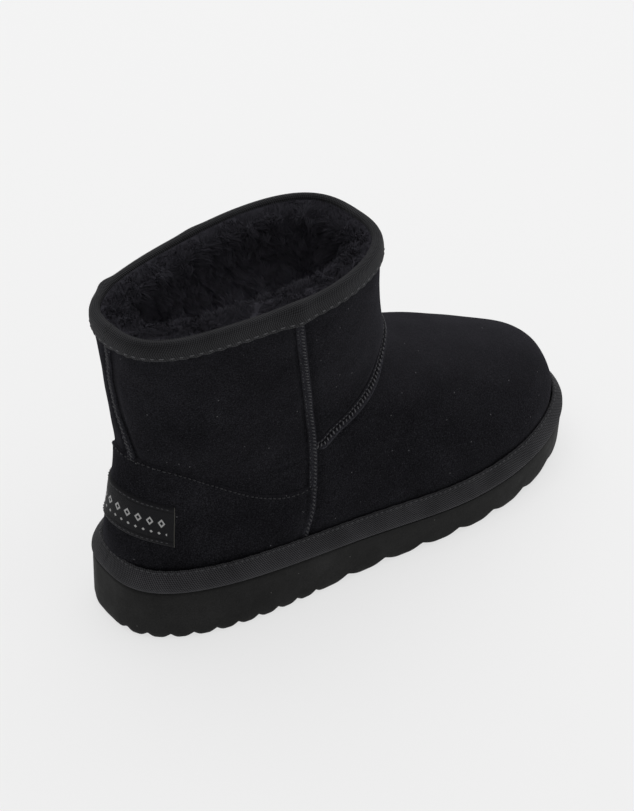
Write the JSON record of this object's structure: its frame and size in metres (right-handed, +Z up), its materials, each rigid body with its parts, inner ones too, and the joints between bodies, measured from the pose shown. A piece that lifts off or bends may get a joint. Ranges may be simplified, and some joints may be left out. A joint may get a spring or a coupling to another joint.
{
  "type": "sheepskin ankle boot",
  "caption": "Short pull-on boot: hollow suede-faced sheepskin upper with pile lining, bound collar, woven rand and a wedge platform sole with cross ripples.",
  "frame": {"origin": "middle of the boot's box, on the floor plane that the sole stands on", "axes": "+X towards the toe, +Y towards the medial side, +Z up"},
  "size_m": [0.2722, 0.098, 0.1891],
  "materials": {
    "foam_sole": "matte moulded foam",
    "fleece": "dense sheepskin pile",
    "suede": "napped suede",
    "rand_tape": "twill weave",
    "binding_tape": "herringbone weave",
    "woven_label": "satin weave"
  },
  "bodies": {
    "root": {"sole": "foam_sole", "insole": "fleece", "upper": "suede", "rand": "rand_tape", "collar_binding": "binding_tape", "heel_counter": "suede", "heel_label": "woven_label"}
  },
  "joints": []
}
